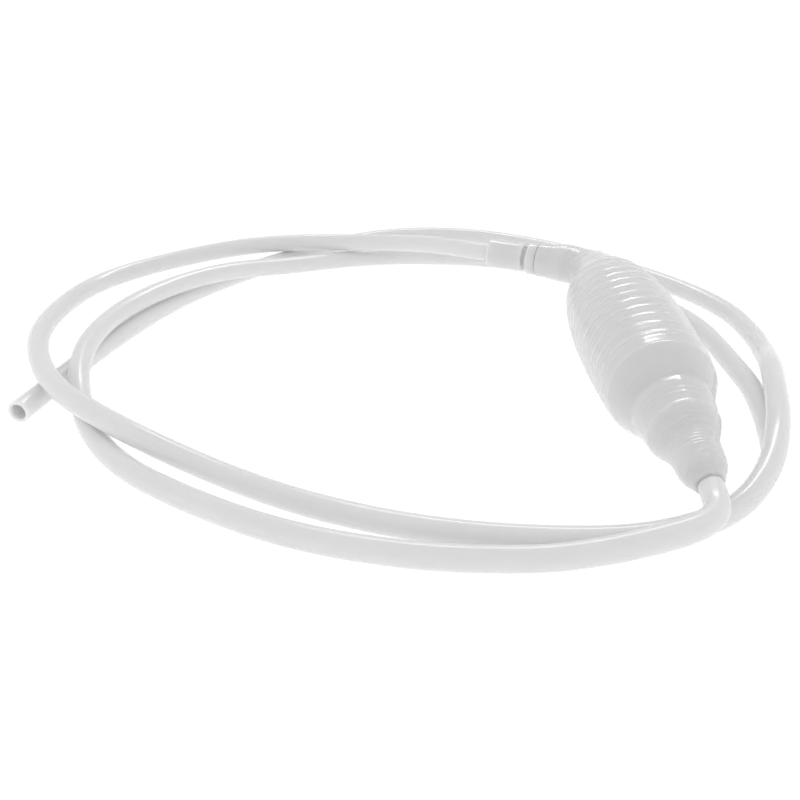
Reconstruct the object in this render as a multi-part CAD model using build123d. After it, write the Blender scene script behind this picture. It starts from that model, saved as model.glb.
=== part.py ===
from build123d import *
from math import cos, pi, radians, sin, tan
import os

# Squeeze-bulb water siphon: a soft moulded pump bulb with two one-way ball valves and two free hoses.
#
# Millimetres, +Z up. The bulb lies on its widest ring, its long axis is parallel to Y with the outlet
# nozzle towards -Y, and the origin is at the bottom centre of the bulb and coupler, without the hoses.

# ---- driving dimensions -------------------------------------------------------------------------
HOSE_OD = 8.0
HOSE_ID = 6.0
FIT = 0.05                 # radial gap between a hose and its socket

BULB_R = 20.7              # widest ring of the bulb
AXIS_HEIGHT = 20.8         # the widest ring rests on the floor
BULB_X = 11.8              # the bulb's straight axis is offset from the centre of the whole body
BULB_CORNER_Y = 76.6       # where the neck's axis meets the bulb's axis
WALL = 1.5                 # moulded wall of the bulb

NECK_ANGLE = 63.0          # between the neck's axis and the bulb's axis
NECK_BEND_R = 20.0         # radius of the bend between them
NECK_BORE_R = 6.2          # holds the inlet valve body
NOSE_START = 120.0         # distance from the corner at which the nose begins to droop
NOSE_BEND_R = 262.0        # radius of that droop
NOSE_LEAN = 20.0           # the droop's plane leans from straight down towards +X
NOZZLE_MOUTH = 180.0       # distance of the nozzle's mouth from the corner, along the axis

# (distance along the bulb's axis from the corner, outer radius)
BODY_PROFILE = [
    (25, 13.4), (35, 16.5), (46, 18.5), (60, 19.9), (75, 20.6), (90, BULB_R), (104, 20.3), (115, 19.8),
    (123, 19.2), (129, 18.2), (134, 16.6), (138, 14.9), (142, 13.6), (148, 12.5), (154, 11.9),
    (158, 10.4), (162, 8.9), (166, 8.2), (171, 7.9), (174, 7.4), (177.5, 5.9), (NOZZLE_MOUTH, 5.0),
]
# (distance along the neck's axis from its end, outer radius), up to where the bend begins
NECK_PROFILE = [(0, 7.4), (4.5, 7.6), (9, 8.2)]
NECK_LENGTH = 12.2         # straight part of the neck
BEND_RADII = [8.5, 8.3, 9.2, 11.2]   # at equal steps round the bend

# coupler and ring on the neck's axis; distances are from the coupler's mouth
COUPLER_LENGTH = 16.6
COUPLER_R = 6.4
COUPLER_GROOVE = 2.3
RING_WIDTH = 4.6
RING_R = 7.1
SPIGOT_R = 4.6
SPIGOT_PLUG = 3.5          # how far the coupler's spigot reaches into the valve body
HOSE_PLUG = 13.0           # depth of the hose's socket in the coupler

# one-way valves
VALVE_LENGTH = 15.0
VALVE_BORE_R = 2.4         # bore of the seat
BALL_R = 3.0
CHAMBER_R = 3.7
SEAT_AT = 6.0              # distance of the seat's face from the valve body's upstream end
SEAT_GAP = 0.12            # ball to seat at rest
BALL_TRAVEL = 2.3
STOP_THICK = 1.6
STOP_BAR = 1.0
OUTLET_VALVE_R = 6.0
OUTLET_VALVE_AT = 154.5    # distance of the outlet valve's upstream end from the corner
NOZZLE_SOCKET = 8.0        # depth of the hose's socket in the nozzle

# ---- hose routes: points chosen by hand, joined by straight runs and tangent arcs -----------------
INLET_ROUTE = [
    (-21.13, 93.38, 20.8), (-38.06, 102.0, 20.8), (-60, 122, 18), (-93.5, 142, 12.5), (-138, 142.5, 12.5),
    (-179.5, 132.5, 8.5), (-213.5, 103.5, 7), (-222, 61, 9), (-219, 18.5, 12.5),
    (-203, -22, 13), (-177, -52.5, 13.5), (-137.5, -73, 4), (-102, -96.5, 4), (-62.5, -111.5, 4),
    (-19, -116, 4), (5, -111, 4), (25.5, -99.5, 4), (40.5, -82, 8.5), (49.5, -60.5, 13),
    (56.5, -37.5, 13), (63, -13.5, 12.5), (70.5, 13, 6), (74, 37.5, 4), (72, 66, 4),
    (58, 96, 4), (31.5, 130, 4), (2, 160.5, 4), (-37.5, 181, 4), (-81, 180, 4),
    (-116.5, 154, 4), (-146.5, 124.5, 4), (-172.5, 90, 4), (-189.5, 51.5, 4), (-202.5, 10.5, 4),
    (-208.5, -12, 4), (-213, -28, 4),
]
OUTLET_ROUTE = [
    (13.75, -98.01, 15.44), (14.61, -108.72, 13.09), (11.5, -117.3, 12.5), (3, -123.5, 12.3),
    (-7, -125.8, 10.8), (-20, -126, 7.5), (-39.5, -125, 4), (-74.5, -122.5, 4), (-110.5, -111, 4),
    (-142, -91, 4), (-170.5, -66.5, 4), (-189, -33, 4), (-198.5, 2.5, 11.5), (-195, 40, 13),
    (-179.5, 74, 13), (-154, 102.5, 12), (-126, 125.5, 6), (-92.5, 143.5, 4), (-55, 145.5, 4),
    (-18, 138, 4), (15.5, 115, 4), (36.5, 84.5, 4), (53.5, 51, 4), (56, 13, 4),
    (57, -26, 4), (48.5, -61.5, 4),
]

os.makedirs("parts", exist_ok=True)


def save(shape, name):
    """Write one sub-part as its own STEP file."""
    export_step(shape, os.path.join("parts", name + ".step"))


# ---- the bulb's axis: neck line, bend, straight body, drooping nose -------------------------------
BEND_TANGENT = NECK_BEND_R * tan(radians(NECK_ANGLE / 2))
CORNER = Vector(BULB_X, BULB_CORNER_Y, AXIS_HEIGHT)
NECK_DIR = Vector(sin(radians(NECK_ANGLE)), -cos(radians(NECK_ANGLE)), 0)
NECK_END = CORNER - NECK_DIR * (BEND_TANGENT + NECK_LENGTH)
BEND_START = CORNER - NECK_DIR * BEND_TANGENT
COUPLER_MOUTH = NECK_END - NECK_DIR * (COUPLER_LENGTH + COUPLER_GROOVE + RING_WIDTH)
LEAN = Vector(sin(radians(NOSE_LEAN)), 0, -cos(radians(NOSE_LEAN)))


def body_plane(distance):
    """The cross-section plane of the bulb at a distance from the corner; its normal points forward."""
    if distance <= NOSE_START:
        return Plane(origin=CORNER + Vector(0, -distance, 0), x_dir=(1, 0, 0), z_dir=(0, -1, 0))
    turn = (distance - NOSE_START) / NOSE_BEND_R
    forward = Vector(0, -1, 0)
    origin = CORNER + forward * (NOSE_START + NOSE_BEND_R * sin(turn)) + LEAN * NOSE_BEND_R * (1 - cos(turn))
    normal = forward * cos(turn) + LEAN * sin(turn)
    side = Vector(1, 0, 0) - normal * normal.X
    return Plane(origin=origin, x_dir=side.normalized(), z_dir=normal)


def neck_plane(distance):
    """The cross-section plane of the neck at a distance from its end; its normal points to the bulb."""
    origin = NECK_END + NECK_DIR * distance
    return Plane(origin=origin, x_dir=(cos(radians(NECK_ANGLE)), sin(radians(NECK_ANGLE)), 0), z_dir=NECK_DIR)


def bend_plane(share):
    """The cross-section plane at a share of the bend, 0 at the neck and 1 at the body."""
    turn = radians(NECK_ANGLE) * share
    centre = BEND_START + Vector(-cos(radians(NECK_ANGLE)), -sin(radians(NECK_ANGLE)), 0) * NECK_BEND_R
    heading = radians(NECK_ANGLE) - turn
    normal = Vector(sin(heading), -cos(heading), 0)
    side = Vector(cos(heading), sin(heading), 0)
    return Plane(origin=centre + side * NECK_BEND_R, x_dir=side, z_dir=normal)


def bulb_skin(inset):
    """The bulb's closed outer form, or its cavity when inset is the wall."""
    sections = []
    if inset == 0:
        sections += [neck_plane(d) * Circle(r) for d, r in NECK_PROFILE]
    steps = len(BEND_RADII) - 1
    sections += [bend_plane(i / steps) * Circle(r - inset) for i, r in enumerate(BEND_RADII)]
    last = NOZZLE_MOUTH if inset == 0 else OUTLET_VALVE_AT
    sections += [body_plane(d) * Circle(r - inset) for d, r in BODY_PROFILE if d <= last]
    return loft(sections)


def rod(plane, radius, start, length):
    """A cylinder on a plane's normal."""
    return plane * Pos(0, 0, start) * Cylinder(radius, length, align=(Align.CENTER, Align.CENTER, Align.MIN))


def make_bulb():
    """The one-piece moulded bulb, with its neck, its nozzle and the bores of both valves."""
    bulb = bulb_skin(0) - bulb_skin(WALL)
    bulb -= rod(neck_plane(0), NECK_BORE_R, -1, VALVE_LENGTH + 2)
    bulb -= rod(body_plane(OUTLET_VALVE_AT), OUTLET_VALVE_R, -2, VALVE_LENGTH + 2)
    bulb -= rod(body_plane(OUTLET_VALVE_AT), VALVE_BORE_R, 0, NOZZLE_MOUTH - OUTLET_VALVE_AT)
    bulb -= rod(body_plane(NOZZLE_MOUTH), HOSE_OD / 2 + FIT, -NOZZLE_SOCKET, NOZZLE_SOCKET + 1)
    return bulb


def make_valve(radius, socket_radius, socket_depth):
    """A valve body on +Z, upstream end at 0: a socket, the seat's bore and the ball's chamber."""
    body = Cylinder(radius, VALVE_LENGTH, align=(Align.CENTER, Align.CENTER, Align.MIN))
    body -= Cylinder(VALVE_BORE_R, VALVE_LENGTH * 3)
    body -= Pos(0, 0, SEAT_AT) * Cylinder(CHAMBER_R, VALVE_LENGTH, align=(Align.CENTER, Align.CENTER, Align.MIN))
    if socket_depth:
        body -= Cylinder(socket_radius, socket_depth * 2)
    return body


def ball_centre():
    """The ball's resting centre, just off the edge of the seat's bore."""
    return SEAT_AT + (BALL_R ** 2 - VALVE_BORE_R ** 2) ** 0.5 + SEAT_GAP


def make_stop():
    """The ball's stop on +Z: a ring with a cross bar, pressed into the chamber's open end."""
    start = ball_centre() + BALL_R + BALL_TRAVEL + SEAT_GAP
    ring = Cylinder(CHAMBER_R, STOP_THICK) - Cylinder(CHAMBER_R - 0.8, STOP_THICK * 2)
    bars = Box(2 * CHAMBER_R - 0.6, STOP_BAR, STOP_THICK) + Box(STOP_BAR, 2 * CHAMBER_R - 0.6, STOP_THICK)
    return Pos(0, 0, start + STOP_THICK / 2) * (ring + bars)


def make_coupler():
    """The hard coupler on +Z, mouth at 0: a sleeve with the hose's socket, and a spigot."""
    reach = COUPLER_LENGTH + COUPLER_GROOVE + RING_WIDTH + SPIGOT_PLUG
    sleeve = Cylinder(COUPLER_R, COUPLER_LENGTH, align=(Align.CENTER, Align.CENTER, Align.MIN))
    sleeve = chamfer(sleeve.edges().filter_by(GeomType.CIRCLE), 0.6)
    body = sleeve + Cylinder(SPIGOT_R, reach, align=(Align.CENTER, Align.CENTER, Align.MIN))
    body -= Cylinder(HOSE_ID / 2, reach * 3)
    body -= Cylinder(HOSE_OD / 2 + FIT, 2 * HOSE_PLUG)
    return body


def make_ring():
    """The lock ring on +Z, clamped between the coupler's groove and the neck."""
    ring = Cylinder(RING_R, RING_WIDTH, align=(Align.CENTER, Align.CENTER, Align.MIN))
    ring = fillet(ring.edges().filter_by(GeomType.CIRCLE), 0.7)
    return ring - Cylinder(SPIGOT_R, RING_WIDTH * 3)


def make_hose(route, name):
    """A hose along straight runs joined by tangent arcs, each as large as its two runs allow."""
    points = [Vector(*p) for p in route]
    radii = []
    for before, here, after in zip(points, points[1:], points[2:]):
        turn = radians((here - before).get_angle(after - here))
        shorter = min((here - before).length, (after - here).length)
        radii.append(0.45 * shorter / tan(turn / 2))
    path = FilletPolyline(*points, radius=radii)
    start = Plane(origin=points[0], z_dir=points[1] - points[0])
    tube = sweep(start * (Circle(HOSE_OD / 2) - Circle(HOSE_ID / 2)), path)
    section = pi * (HOSE_OD ** 2 - HOSE_ID ** 2) / 4
    print(name, "length", round(path.length, 1), "smallest radius", round(min(radii), 1),
          "volume against section x length", round(tube.volume / (section * path.length), 4))
    print("  radii", [round(r) for r in radii])
    return tube


on_neck = neck_plane(0)
on_nose = body_plane(OUTLET_VALVE_AT)
on_mouth = Plane(origin=COUPLER_MOUTH, x_dir=on_neck.x_dir, z_dir=NECK_DIR)

save(make_bulb(), "pump_bulb")
save(on_mouth * make_coupler(), "inlet_coupler")
save(on_mouth * Pos(0, 0, COUPLER_LENGTH + COUPLER_GROOVE) * make_ring(), "lock_ring")
save(on_neck * make_valve(NECK_BORE_R, SPIGOT_R, SPIGOT_PLUG), "inlet_valve_body")
save(on_nose * make_valve(OUTLET_VALVE_R, 0, 0), "outlet_valve_body")
for plane, side in ((on_neck, "inlet"), (on_nose, "outlet")):
    save(plane * Pos(0, 0, ball_centre()) * Sphere(BALL_R), side + "_valve_ball")
    save(plane * make_stop(), side + "_ball_stop")
save(make_hose(INLET_ROUTE, "inlet_hose"), "inlet_hose")
save(make_hose(OUTLET_ROUTE, "outlet_hose"), "outlet_hose")

print("coupler mouth", COUPLER_MOUTH, "nozzle mouth", body_plane(NOZZLE_MOUTH).origin, body_plane(NOZZLE_MOUTH).z_dir)
print("outlet valve axis", on_nose.z_dir)
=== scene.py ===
from math import cos, exp, pi, radians, sin, tan

import bpy
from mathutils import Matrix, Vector


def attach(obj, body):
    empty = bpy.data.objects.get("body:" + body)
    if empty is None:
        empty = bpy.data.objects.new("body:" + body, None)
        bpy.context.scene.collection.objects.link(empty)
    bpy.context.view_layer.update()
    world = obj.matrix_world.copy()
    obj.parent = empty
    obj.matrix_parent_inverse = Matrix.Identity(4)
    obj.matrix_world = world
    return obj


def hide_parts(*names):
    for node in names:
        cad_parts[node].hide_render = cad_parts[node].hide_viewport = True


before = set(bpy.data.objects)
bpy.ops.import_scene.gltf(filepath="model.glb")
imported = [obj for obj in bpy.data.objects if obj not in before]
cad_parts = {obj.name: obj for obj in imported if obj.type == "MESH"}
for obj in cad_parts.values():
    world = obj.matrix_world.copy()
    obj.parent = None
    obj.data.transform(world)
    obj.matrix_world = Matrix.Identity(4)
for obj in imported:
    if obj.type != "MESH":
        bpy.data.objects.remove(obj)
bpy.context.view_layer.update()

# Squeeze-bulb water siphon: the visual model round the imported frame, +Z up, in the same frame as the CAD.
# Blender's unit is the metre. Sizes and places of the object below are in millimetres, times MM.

MM = 0.001

# ---- camera and light, in metres ------------------------------------------------------------------
CAMERA_AT = Vector((-85.0, -372.4, 175.2)) * MM
CAMERA_PITCH = 26.0        # degrees below the horizon
CAMERA_HEADING = 1.5       # degrees from +Y towards +X
CAMERA_LENS = 47.9
CAMERA_SENSOR = 36.0
CAMERA_CLIP = (0.01, 20.0)

FLOOR_HALF = 6.0
FLOOR_TONE = 0.15
FLOOR_ROUGHNESS = 0.9
FLOOR_SPECULAR = 0.1
FLOOR_GLOW = 0.92
ROOM_GLOW = 0.95
STRIP_AT = (0.1, 1.05, 1.1)
STRIP_SIZE = (0.75, 0.07)
STRIP_WATTS = 6.2
STRIP_TARGET = (-0.06, 0.02, 0.01)

# ---- hoses, as in the CAD -----------------------------------------------------------------------
HOSE_OD = 8.0
HOSE_ID = 6.0
HOSE_EDGE = 0.25           # small bevel on the outer edge of a cut end
HOSE_SEGMENTS = 40
SPLINE_ORDER = 3
SPLINE_STEPS = 20          # fineness of the centreline between control points

INLET_ROUTE = [
    (-21.13, 93.38, 20.8), (-38.06, 102.0, 20.8), (-60, 122, 18), (-93.5, 142, 12.5), (-138, 142.5, 12.5),
    (-179.5, 132.5, 8.5), (-213.5, 103.5, 7), (-222, 61, 9), (-219, 18.5, 12.5),
    (-203, -22, 13), (-177, -52.5, 13.5), (-137.5, -73, 4), (-102, -96.5, 4), (-62.5, -111.5, 4),
    (-19, -116, 4), (5, -111, 4), (25.5, -99.5, 4), (40.5, -82, 8.5), (49.5, -60.5, 13),
    (56.5, -37.5, 13), (63, -13.5, 12.5), (70.5, 13, 6), (74, 37.5, 4), (72, 66, 4),
    (58, 96, 4), (31.5, 130, 4), (2, 160.5, 4), (-37.5, 181, 4), (-81, 180, 4),
    (-116.5, 154, 4), (-146.5, 124.5, 4), (-172.5, 90, 4), (-189.5, 51.5, 4), (-202.5, 10.5, 4),
    (-208.5, -12, 4), (-213, -28, 4),
]
OUTLET_ROUTE = [
    (13.75, -98.01, 15.44), (14.61, -108.72, 13.09), (11.5, -117.3, 12.5), (3, -123.5, 12.3),
    (-7, -125.8, 10.8), (-20, -126, 7.5), (-39.5, -125, 4), (-74.5, -122.5, 4), (-110.5, -111, 4),
    (-142, -91, 4), (-170.5, -66.5, 4), (-189, -33, 4), (-198.5, 2.5, 11.5), (-195, 40, 13),
    (-179.5, 74, 13), (-154, 102.5, 12), (-126, 125.5, 6), (-92.5, 143.5, 4), (-55, 145.5, 4),
    (-18, 138, 4), (15.5, 115, 4), (36.5, 84.5, 4), (53.5, 51, 4), (56, 13, 4),
    (57, -26, 4), (48.5, -61.5, 4),
]

# ---- the bulb's axis, as in the CAD: neck line, bend, straight body, drooping nose ----------------
AXIS_HEIGHT = 20.8
BULB_X = 11.8
CORNER_Y = 76.6            # where the neck's axis meets the body's axis
NECK_ANGLE = radians(63.0)
BEND_R = 20.0
NECK_LENGTH = 12.2
NOSE_START = 120.0         # distance from the corner at which the nose begins to droop
NOSE_BEND_R = 262.0
NOSE_LEAN = radians(20.0)  # from straight down towards +X
MOUTH = 180.0              # distance of the nozzle's mouth from the corner
WALL = 1.5

BEND_TANGENT = BEND_R * tan(NECK_ANGLE / 2)
BEND_LENGTH = BEND_R * NECK_ANGLE
CORNER = Vector((BULB_X, CORNER_Y, AXIS_HEIGHT))
NECK_DIR = Vector((sin(NECK_ANGLE), -cos(NECK_ANGLE), 0))
LEAN = Vector((sin(NOSE_LEAN), 0, -cos(NOSE_LEAN)))

# Distances are of two kinds: along the path from the neck's end, and along the body's axis from the
# corner. The second is the first plus PATH_BODY.
PATH_BODY = BEND_TANGENT - BEND_LENGTH - NECK_LENGTH
PATH_LENGTH = MOUTH - PATH_BODY

# ---- the bulb's outline: (distance, outer radius) -------------------------------------------------
NECK_RADII = [(0, 7.4), (4.5, 7.6), (9, 8.2)]        # along the path
BEND_RADII = [8.5, 8.3, 9.2, 11.2]                   # at equal steps round the bend
BODY_RADII = [                                       # from the corner
    (25, 13.4), (35, 16.5), (46, 18.5), (60, 19.9), (75, 20.6), (90, 20.7), (104, 20.3), (115, 19.8),
    (123, 19.3), (127.6, 18.75), (130.5, 17.8), (134, 16.6), (138, 15.0), (141.3, 13.8), (143.6, 13.6),
    (148, 12.8), (153.6, 12.1), (158, 10.4), (162, 8.9), (166, 8.2), (171, 7.9), (174, 7.3),
    (176.5, 6.2), (178.5, 5.3), (MOUTH, 4.6),
]

# ---- the bulb's moulded rings: distances from the corner; a ridge is (height, half-width) ---------
BODY_RINGS = [31, 40, 48, 56, 63.5, 71, 78, 85, 92, 99, 106, 113, 120]
RING_HEIGHT = 0.2
RING_HALF_WIDTH = 0.75
REAR_HEIGHT = 0.3          # how much higher the rings get towards the neck
REAR_HALF_WIDTH = 0.5      # how much wider they get
REAR_START = 88.0          # they grow from here
REAR_END = 43.0            # to here
LESSER_RIDGE_AFTER = 2.8   # each ring has a lesser ridge in front of it
LESSER_RIDGE = (0.08, 0.6)
LAST_RING = 127.6          # the front edge of the ringed part
LAST_RIDGE = (0.16, 0.6)
SHOULDER_RING = 136.1
SHOULDER_RIDGE = (0.06, 0.7)
COLLAR_RINGS = [(147.4, 0.12), (149.2, 0.10), (153.6, 0.2)]   # each with its height
COLLAR_HALF_WIDTH = 0.6
CONE_RINGS_AT = 157.4
CONE_PITCH = 1.3
CONE_RINGS = 10
CONE_RIDGE = (0.12, 0.36)
COARSE_RINGS = [171.9, 173.6, 175.4]
COARSE_RIDGE = (0.12, 0.42)
RELIEF_DROP = 0.25         # the skin between the body's rings lies this far inside the outline

# fine rings round the neck, along the path
NECK_RINGS_AT = 3.0
NECK_RING_PITCH = 1.9
NECK_RINGS = 12
NECK_RING_HEIGHT = 0.06
NECK_PART_END = NECK_LENGTH + BEND_LENGTH * 0.8   # the body's rings and relief begin here

# ---- the bulb's open ends and the fineness of its mesh --------------------------------------------
LIP_START = 172.0          # from here to its mouth the nozzle turns to follow the hose
LIP_BORE_R = HOSE_ID / 2 + 0.2   # the lip's inner face lies within the hose's wall
NEAR_POINTS = 60           # points of the outlet hose's line that lie near the nozzle
NECK_ROUND = 0.5           # depth of the round on the neck's rim
BULB_SEGMENTS = 112
BODY_STEP = 0.45
FINE_STEP = 0.24
FINE_FROM = 154.0          # distance from the corner; the fine rings after it need the finer step
INNER_STEP = 3.0           # the smooth inner skin needs fewer rings
INNER_LAST = 2.0           # its last ring before the neck's rim, along the path
LIP_STEPS = 8
RIM_STEPS = 6


# ---- building blocks ----------------------------------------------------------------------------
def add_object(name, data):
    """An object in the scene that holds the data."""
    thing = bpy.data.objects.new(name, data)
    bpy.context.scene.collection.objects.link(thing)
    return thing


def add_ring(verts, centre, side, other, radius, segments):
    """Append a circle of vertices, in metres, and return their numbers."""
    first = len(verts)
    for k in range(segments):
        turn = 2 * pi * k / segments
        verts.append(centre + (side * cos(turn) + other * sin(turn)) * radius)
    return list(range(first, first + segments))


def skin(name, verts, rings):
    """A smooth-shaded piece whose quads join each ring of vertices to the next."""
    faces = []
    for a, b in zip(rings, rings[1:]):
        for k in range(len(a)):
            n = (k + 1) % len(a)
            faces.append((a[k], a[n], b[n], b[k]))
    mesh = bpy.data.meshes.new(name)
    mesh.from_pydata(verts, [], faces)
    mesh.update()
    for polygon in mesh.polygons:
        polygon.use_smooth = True
    return add_object(name, mesh)


def share_between(value, start, end):
    """How far a value lies from start to end, held between 0 and 1."""
    return min(max((value - start) / (end - start), 0.0), 1.0)


def make_camera():
    """The camera that looks down on the object from the nozzle's end."""
    data = bpy.data.cameras.new("camera")
    data.lens = CAMERA_LENS
    data.sensor_width = CAMERA_SENSOR
    data.clip_start, data.clip_end = CAMERA_CLIP
    camera = add_object("camera", data)
    camera.location = CAMERA_AT
    camera.rotation_euler = (radians(90 - CAMERA_PITCH), 0, -radians(CAMERA_HEADING))
    bpy.context.scene.camera = camera


make_camera()


# ---- materials ----------------------------------------------------------------------------------
TONE_SPREAD = (0.99, 1.01)       # cloudiness: the tone's share in dark and light patches
PATCH_EDGES = (0.35, 0.65)       # noise values between which a dark patch turns light
ROUGHNESS_SPREAD = (-0.02, 0.03)
CLOUD_DETAIL = 3
GRAIN_DETAIL = 4
GRAIN_HEIGHT = 0.4               # millimetres, times the bump's strength
SCATTER_DEPTH = 5.0              # millimetres that light spreads inside the plastic
PLASTIC_IOR = 1.5
PLASTIC_SPECULAR = 0.3


def new_material(name):
    """A material with nodes, its node tree and its shader."""
    material = bpy.data.materials.new(name)
    material.use_nodes = True
    return material, material.node_tree, material.node_tree.nodes["Principled BSDF"]


def set_inputs(node, values):
    """Set constant values on a node's own sockets."""
    for socket, value in values.items():
        node.inputs[socket].default_value = value


def milky_plastic(name, tone, roughness, bump, grain_scale, patch_scale, depth=SCATTER_DEPTH):
    """Translucent polyethylene: milky, faintly cloudy, with a fine grain and a soft gloss."""
    material, tree, shader = new_material(name)
    place = tree.nodes.new("ShaderNodeTexCoord")
    cloud = tree.nodes.new("ShaderNodeTexNoise")
    ramp = tree.nodes.new("ShaderNodeValToRGB")
    grain = tree.nodes.new("ShaderNodeTexNoise")
    relief = tree.nodes.new("ShaderNodeBump")
    rough = tree.nodes.new("ShaderNodeMapRange")
    smoothest, roughest = (roughness + change for change in ROUGHNESS_SPREAD)
    set_inputs(cloud, {"Scale": patch_scale, "Detail": CLOUD_DETAIL})
    set_inputs(grain, {"Scale": grain_scale, "Detail": GRAIN_DETAIL})
    set_inputs(relief, {"Strength": bump, "Distance": GRAIN_HEIGHT * MM})
    set_inputs(rough, {"To Min": smoothest, "To Max": roughest})
    for element, position, share in zip(ramp.color_ramp.elements, PATCH_EDGES, TONE_SPREAD):
        element.position = position
        element.color = (tone * share, tone * share, tone * share, 1)
    set_inputs(shader, {
        "Subsurface Weight": 1.0, "Subsurface Radius": (1.0, 1.0, 1.0), "Subsurface Scale": depth * MM,
        "IOR": PLASTIC_IOR, "Specular IOR Level": PLASTIC_SPECULAR,
    })
    for output, target in (
        (place.outputs["Object"], cloud.inputs["Vector"]),
        (place.outputs["Object"], grain.inputs["Vector"]),
        (cloud.outputs["Fac"], ramp.inputs["Fac"]),
        (ramp.outputs["Color"], shader.inputs["Base Color"]),
        (cloud.outputs["Fac"], rough.inputs["Value"]),
        (rough.outputs["Result"], shader.inputs["Roughness"]),
        (grain.outputs["Fac"], relief.inputs["Height"]),
        (relief.outputs["Normal"], shader.inputs["Normal"]),
    ):
        tree.links.new(output, target)
    return material


# name, tone, roughness, bump, grain scale, patch scale
BULB_MATERIAL = milky_plastic("milky_bulb", 0.735, 0.15, 0.02, 900, 45)
HOSE_MATERIAL = milky_plastic("milky_hose", 0.77, 0.2, 0.03, 700, 30, depth=2.2)
COUPLER_MATERIAL = milky_plastic("clear_white_coupler", 0.68, 0.16, 0.03, 500, 60)
RING_MATERIAL = milky_plastic("clear_white_ring", 0.68, 0.14, 0.03, 500, 60)
VALVE_MATERIAL = milky_plastic("natural_valve", 0.72, 0.4, 0.08, 900, 80)
BALL_MATERIAL = milky_plastic("polished_ball", 0.78, 0.12, 0.02, 900, 80)


# ---- the two hoses ------------------------------------------------------------------------------
def centreline(route, name):
    """Points along the smooth NURBS line that has the route's points as its control points."""
    curve = bpy.data.curves.new(name, "CURVE")
    curve.dimensions = "3D"
    spline = curve.splines.new("NURBS")
    spline.points.add(len(route) - 1)
    for point, at in zip(spline.points, route):
        point.co = (at[0] * MM, at[1] * MM, at[2] * MM, 1)
    spline.order_u = SPLINE_ORDER
    spline.use_endpoint_u = True
    spline.resolution_u = SPLINE_STEPS
    line = add_object(name, curve)
    mesh = bpy.data.meshes.new_from_object(line)
    points = [v.co.copy() for v in mesh.vertices]
    bpy.data.objects.remove(line)
    bpy.data.meshes.remove(mesh)
    return points


def frames_along(points):
    """A plane at each point whose side vector turns as little as possible from one to the next."""
    side = Vector((0, 0, 1))
    planes = []
    last = len(points) - 1
    for i, here in enumerate(points):
        ahead = (points[min(i + 1, last)] - points[max(i - 1, 0)]).normalized()
        side = (side - ahead * side.dot(ahead)).normalized()
        planes.append((here, side, ahead.cross(side)))
    return planes


def hollow_tube(points, name):
    """A hose: outer wall, bore and two flat cut ends."""
    outer = HOSE_OD / 2 * MM
    inner = HOSE_ID / 2 * MM
    edge = HOSE_EDGE * MM
    planes = frames_along(points)
    verts = []

    def ring(plane, radius, shift=0.0):
        here, side, other = plane
        return add_ring(verts, here + side.cross(other) * shift, side, other, radius, HOSE_SEGMENTS)

    rings = [ring(planes[0], outer - edge), ring(planes[0], outer, edge)]
    rings += [ring(plane, outer) for plane in planes[1:-1]]
    rings += [ring(planes[-1], outer, -edge), ring(planes[-1], outer - edge)]
    rings += [ring(plane, inner) for plane in reversed(planes)]
    rings.append(rings[0])
    return skin(name, verts, rings)


inlet_line = centreline(INLET_ROUTE, "inlet_line")
outlet_line = centreline(OUTLET_ROUTE, "outlet_line")
inlet_hose = hollow_tube(inlet_line, "milky_inlet_hose")
outlet_hose = hollow_tube(outlet_line, "milky_outlet_hose")
for hose in (inlet_hose, outlet_hose):
    hose.data.materials.append(HOSE_MATERIAL)
    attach(hose, "pump")
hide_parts("inlet_hose")
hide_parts("outlet_hose")


# ---- the bulb: a ringed, moulded skin along a bent axis --------------------------------------------
def axis_plane(along):
    """Point, side and heading of the axis at a path distance from the neck's end, in millimetres."""
    neck_side = Vector((cos(NECK_ANGLE), sin(NECK_ANGLE), 0))
    bend_start = CORNER - NECK_DIR * BEND_TANGENT
    if along <= NECK_LENGTH:
        return bend_start + NECK_DIR * (along - NECK_LENGTH), neck_side, NECK_DIR
    if along < NECK_LENGTH + BEND_LENGTH:
        centre = bend_start - neck_side * BEND_R
        angle = NECK_ANGLE - (along - NECK_LENGTH) / BEND_R
        side = Vector((cos(angle), sin(angle), 0))
        return centre + side * BEND_R, side, Vector((sin(angle), -cos(angle), 0))
    distance = along + PATH_BODY
    forward = Vector((0, -1, 0))
    turn = max(0.0, (distance - NOSE_START) / NOSE_BEND_R)
    ahead = min(distance, NOSE_START) + NOSE_BEND_R * sin(turn)
    point = CORNER + forward * ahead + LEAN * NOSE_BEND_R * (1 - cos(turn))
    heading = forward * cos(turn) + LEAN * sin(turn)
    side = (Vector((1, 0, 0)) - heading * heading.x).normalized()
    return point, side, heading


def outline_points():
    """All of the outline's radii at path distances, in order."""
    steps = len(BEND_RADII) - 1
    table = list(NECK_RADII)
    table += [(NECK_LENGTH + BEND_LENGTH * i / steps, radius) for i, radius in enumerate(BEND_RADII)]
    table += [(distance - PATH_BODY, radius) for distance, radius in BODY_RADII]
    return table


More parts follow.
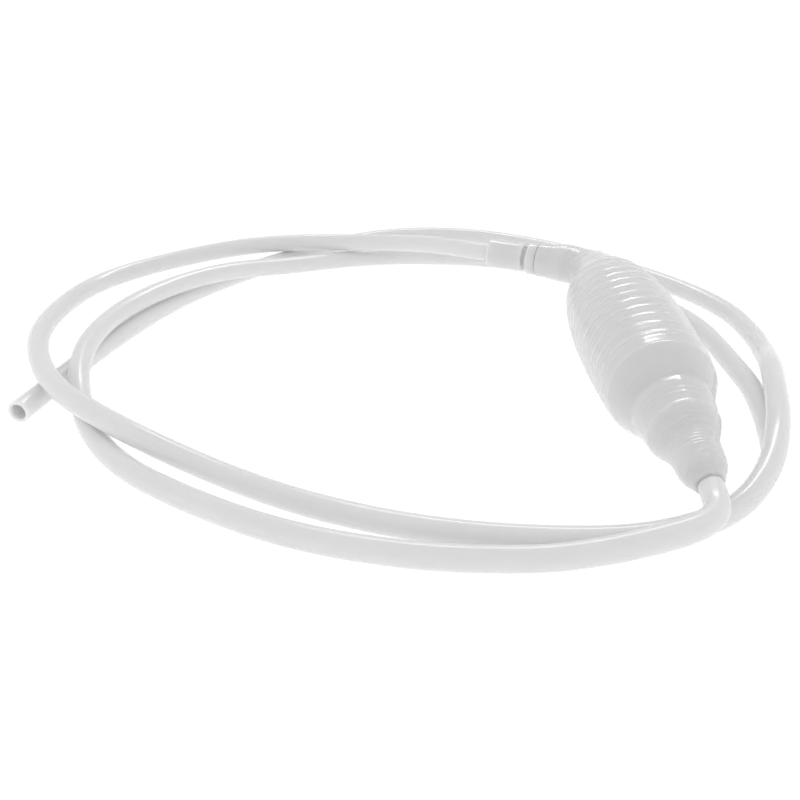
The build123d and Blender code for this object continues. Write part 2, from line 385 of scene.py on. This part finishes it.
def smooth_value(table, at):
    """Monotone cubic interpolation, so the outline has no ripples between its points."""
    xs, ys = zip(*table)
    last = len(xs) - 1
    if at <= xs[0]:
        return ys[0]
    if at >= xs[last]:
        return ys[last]
    i = max(k for k in range(last) if xs[k] <= at)
    slope = [(ys[k + 1] - ys[k]) / (xs[k + 1] - xs[k]) for k in range(last)]

    def tangent(k):
        if k == 0:
            return slope[0]
        if k == last:
            return slope[-1]
        before, after = slope[k - 1], slope[k]
        return 0.0 if before * after <= 0 else 2 * before * after / (before + after)

    width = xs[i + 1] - xs[i]
    t = (at - xs[i]) / width
    start_value = (2 * t ** 3 - 3 * t ** 2 + 1) * ys[i]
    start_slope = (t ** 3 - 2 * t ** 2 + t) * tangent(i) * width
    end_value = (-2 * t ** 3 + 3 * t ** 2) * ys[i + 1]
    end_slope = (t ** 3 - t ** 2) * tangent(i + 1) * width
    return start_value + start_slope + end_value + end_slope


def body_ridges():
    """Every moulded ridge of the body: (distance from the corner, height, half-width)."""
    ridges = [(LAST_RING, *LAST_RIDGE), (SHOULDER_RING, *SHOULDER_RIDGE)]
    for centre in BODY_RINGS:
        rear = share_between(centre, REAR_START, REAR_END)
        ridges.append((centre, RING_HEIGHT + REAR_HEIGHT * rear, RING_HALF_WIDTH + REAR_HALF_WIDTH * rear))
        ridges.append((centre + LESSER_RIDGE_AFTER, *LESSER_RIDGE))
    ridges += [(centre, height, COLLAR_HALF_WIDTH) for centre, height in COLLAR_RINGS]
    ridges += [(CONE_RINGS_AT + CONE_PITCH * i, *CONE_RIDGE) for i in range(CONE_RINGS)]
    ridges += [(centre, *COARSE_RIDGE) for centre in COARSE_RINGS]
    return ridges


OUTLINE = outline_points()
RIDGES = body_ridges()


def bulb_radius(along):
    """Outer radius of the bulb with its rings, at a path distance."""
    radius = smooth_value(OUTLINE, along)
    if along < NECK_PART_END:
        phase = (along - NECK_RINGS_AT) / NECK_RING_PITCH
        if 0 < phase < NECK_RINGS:
            radius += NECK_RING_HEIGHT * cos(2 * pi * phase)
        return radius
    distance = along + PATH_BODY
    relief = sum(height * exp(-((distance - centre) / half) ** 2) for centre, height, half in RIDGES)
    return radius + relief - RELIEF_DROP


def hose_shift(here, heading):
    """From the bulb's axis to the outlet hose's centreline, across the axis, in millimetres."""
    offsets = [point / MM - here for point in outlet_line[:NEAR_POINTS]]
    nearest = min(offsets, key=lambda offset: abs(offset.dot(heading)))
    return nearest - heading * nearest.dot(heading)


def make_bulb():
    """Outer skin with rings, the nozzle's round lip, inner skin, and the neck's round rim."""
    stations = []
    along = 0.0
    while along < PATH_LENGTH:
        stations.append(along)
        along += FINE_STEP if along + PATH_BODY > FINE_FROM else BODY_STEP
    verts = []

    def ring(along, radius):
        here, side, heading = axis_plane(along)
        follow = share_between(along + PATH_BODY, LIP_START, MOUTH)
        follow = follow * follow * (3 - 2 * follow)
        here += hose_shift(here, heading) * follow
        return add_ring(verts, here * MM, side, heading.cross(side), radius * MM, BULB_SEGMENTS)

    lip = (bulb_radius(PATH_LENGTH) - LIP_BORE_R) / 2
    rings = [ring(at, bulb_radius(at)) for at in stations if NECK_ROUND < at < PATH_LENGTH - lip]
    for step in range(LIP_STEPS + 1):
        turn = pi * step / LIP_STEPS
        rings.append(ring(PATH_LENGTH - lip + lip * sin(turn), LIP_BORE_R + lip + lip * cos(turn)))
    inner_count = int(PATH_LENGTH / INNER_STEP) - 1
    inner = [PATH_LENGTH - INNER_STEP * (i + 1) for i in range(inner_count)]
    for at in inner + [INNER_LAST, NECK_ROUND]:
        rings.append(ring(at, max(smooth_value(OUTLINE, at) - WALL, LIP_BORE_R)))
    middle = bulb_radius(0) - WALL / 2
    for step in range(RIM_STEPS + 1):
        turn = pi * step / RIM_STEPS
        rings.append(ring(NECK_ROUND * (1 - sin(turn)), middle - WALL / 2 * cos(turn)))
    rings.append(rings[0])
    return skin("ringed_bulb", verts, rings)


bulb = make_bulb()
bulb.data.materials.append(BULB_MATERIAL)
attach(bulb, "pump")
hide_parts("pump_bulb")

# ---- CAD nodes that keep their shape get better materials -------------------------------------------
NODE_MATERIALS = {
    "inlet_coupler": COUPLER_MATERIAL,
    "lock_ring": RING_MATERIAL,
    "inlet_valve_body": VALVE_MATERIAL,
    "outlet_valve_body": VALVE_MATERIAL,
    "inlet_ball_stop": VALVE_MATERIAL,
    "outlet_ball_stop": VALVE_MATERIAL,
    "inlet_valve_ball": BALL_MATERIAL,
    "outlet_valve_ball": BALL_MATERIAL,
}
for node, material in NODE_MATERIALS.items():
    for material_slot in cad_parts[node].material_slots:
        material_slot.material = material


# ---- floor and light ------------------------------------------------------------------------------
def make_floor():
    """A wide white floor at the object's base that glows like a light table."""
    half = FLOOR_HALF
    corners = [(-half, -half, 0), (half, -half, 0), (half, half, 0), (-half, half, 0)]
    mesh = bpy.data.meshes.new("floor")
    mesh.from_pydata(corners, [], [(0, 1, 2, 3)])
    floor = add_object("floor", mesh)
    material, _, shader = new_material("white_floor")
    set_inputs(shader, {
        "Base Color": (FLOOR_TONE, FLOOR_TONE, FLOOR_TONE, 1),
        "Roughness": FLOOR_ROUGHNESS, "Specular IOR Level": FLOOR_SPECULAR,
        "Emission Color": (1, 1, 1, 1), "Emission Strength": FLOOR_GLOW,
    })
    mesh.materials.append(material)


def make_strip():
    """A narrow light behind the object that only makes highlights; the room gives the even light."""
    data = bpy.data.lights.new("back_strip", "AREA")
    data.shape = "RECTANGLE"
    data.size, data.size_y = STRIP_SIZE
    data.energy = STRIP_WATTS
    lamp = add_object("back_strip", data)
    lamp.location = STRIP_AT
    lamp.rotation_euler = (Vector(STRIP_TARGET) - Vector(STRIP_AT)).to_track_quat("-Z", "Y").to_euler()
    lamp.visible_diffuse = False


def make_room():
    """Even white light from all sides."""
    world = bpy.data.worlds.new("studio")
    world.use_nodes = True
    set_inputs(world.node_tree.nodes["Background"], {"Color": (1, 1, 1, 1), "Strength": ROOM_GLOW})
    bpy.context.scene.world = world
    bpy.context.scene.view_settings.view_transform = "Standard"


make_floor()
make_strip()
make_room()
